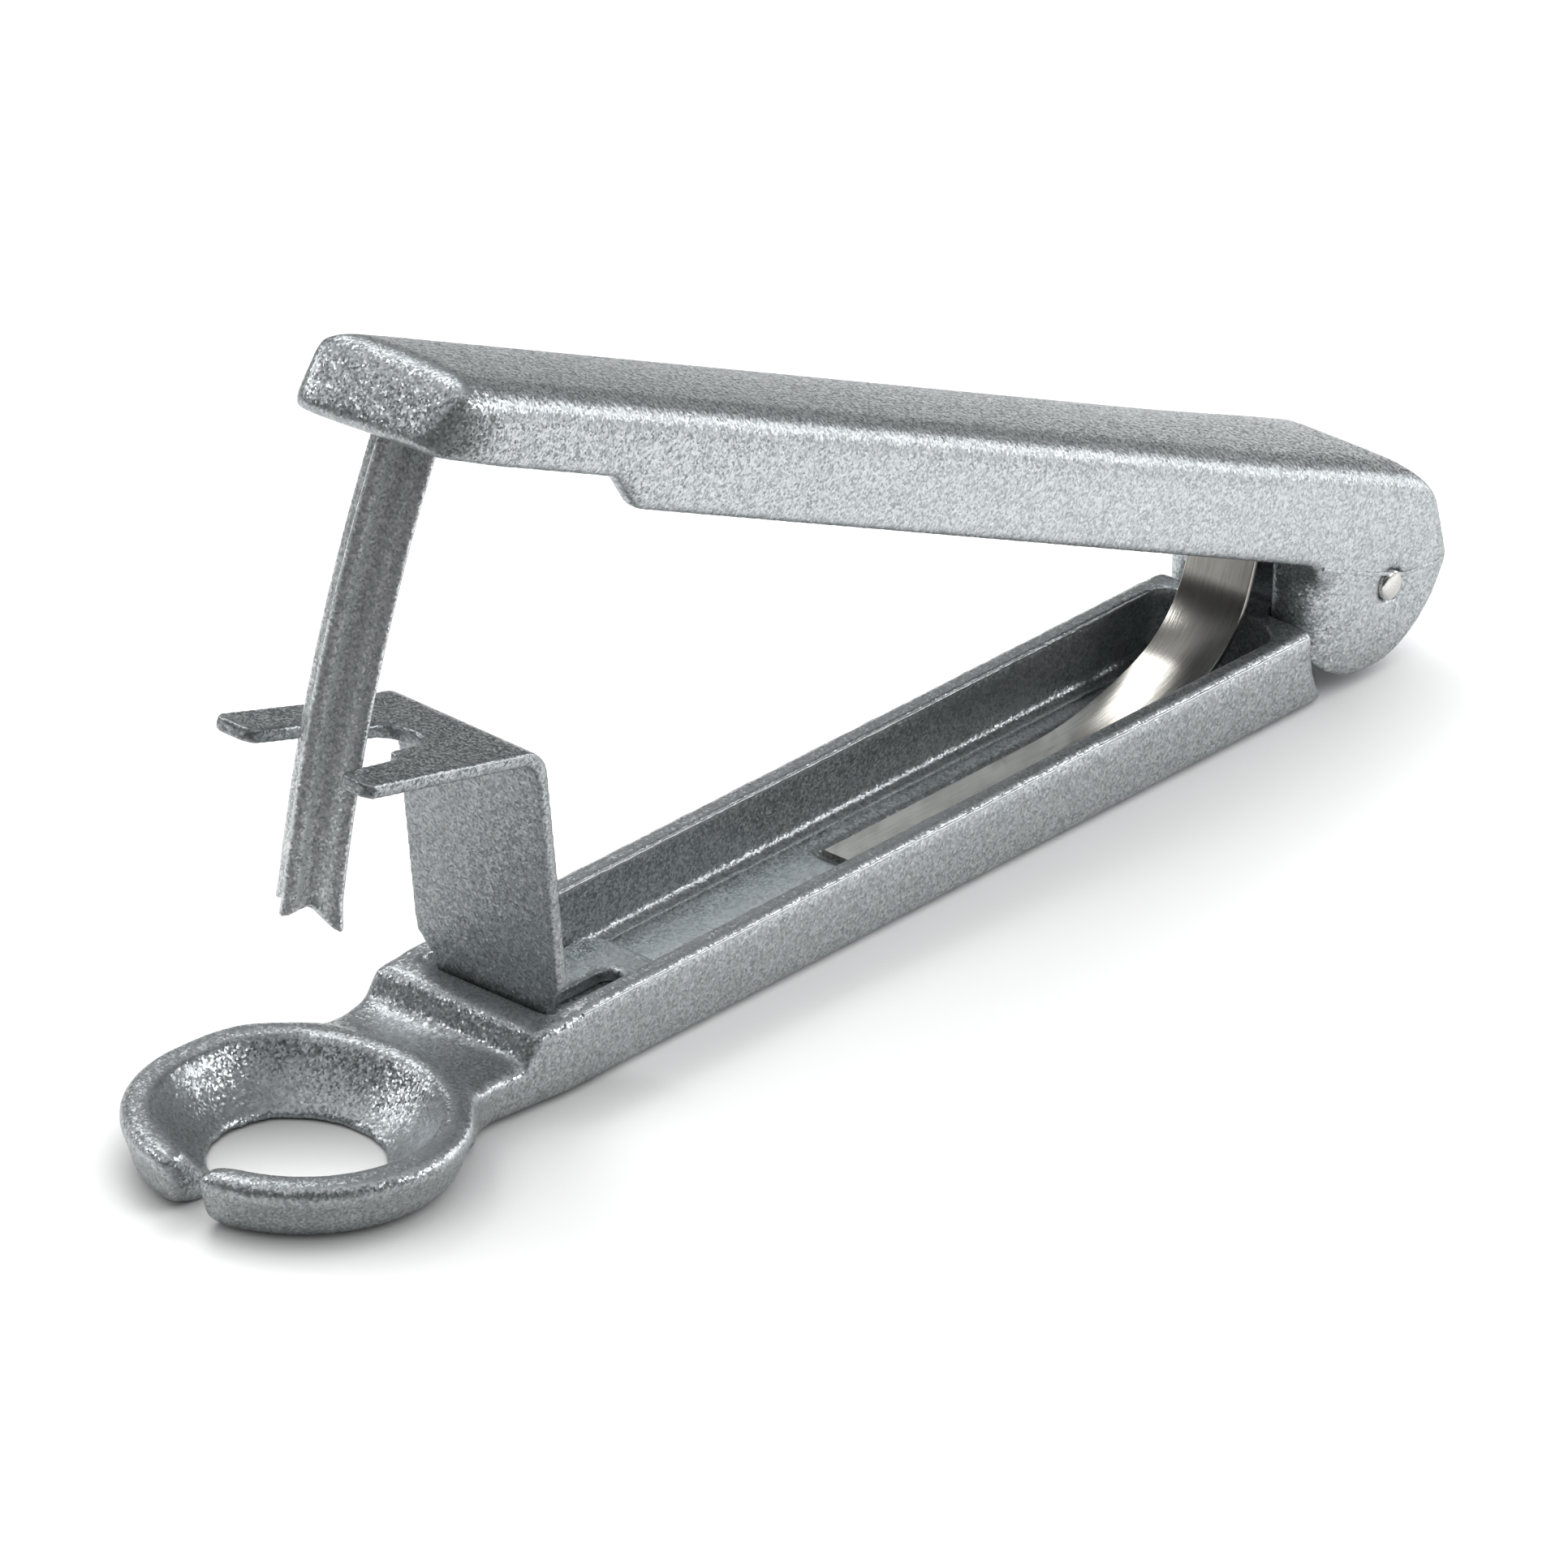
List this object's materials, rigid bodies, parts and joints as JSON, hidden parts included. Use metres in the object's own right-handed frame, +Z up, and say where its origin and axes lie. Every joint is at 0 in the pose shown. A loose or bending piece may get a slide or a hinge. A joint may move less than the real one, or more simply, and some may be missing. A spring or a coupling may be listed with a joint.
{
  "type": "cherry pitter",
  "caption": "Hand-held cherry pitter: a hollow lever with a curved ribbed plunger is hinged to a channel arm with a slit cup, held open by a leaf spring, with a fork that strips the fruit.",
  "frame": {"origin": "on the table, midway between the front of the cup and the rear of the lever, on the plane of symmetry", "axes": "+X towards the hinge, with the cup at -X; +Z up from the table; the hinge pin lies along Y"},
  "size_m": [0.1703, 0.0324, 0.0767],
  "materials": {
    "casting": "die-cast, with fine metallic silver-grey paint",
    "sheet": "bent sheet, with fine metallic silver-grey paint",
    "spring_steel": "rolled stainless strip, brushed along its length",
    "pin_steel": "bare turned steel"
  },
  "bodies": {
    "arm": {"lower_arm": "casting", "stripper": "sheet", "leaf_spring": "spring_steel"},
    "lever": {"lever": "casting", "plunger": "casting", "hinge_pin": "pin_steel"}
  },
  "joints": [
    {"name": "lever_hinge", "type": "hinge", "parent": "arm", "child": "lever", "pos_m": [0.07649, 0, 0.0091], "axis": [0, -1, 0], "range_deg": [0, 11], "stiffness_Nm_per_rad": 6.5, "springref_deg": -5.73, "deforming": ["leaf_spring"]}
  ]
}
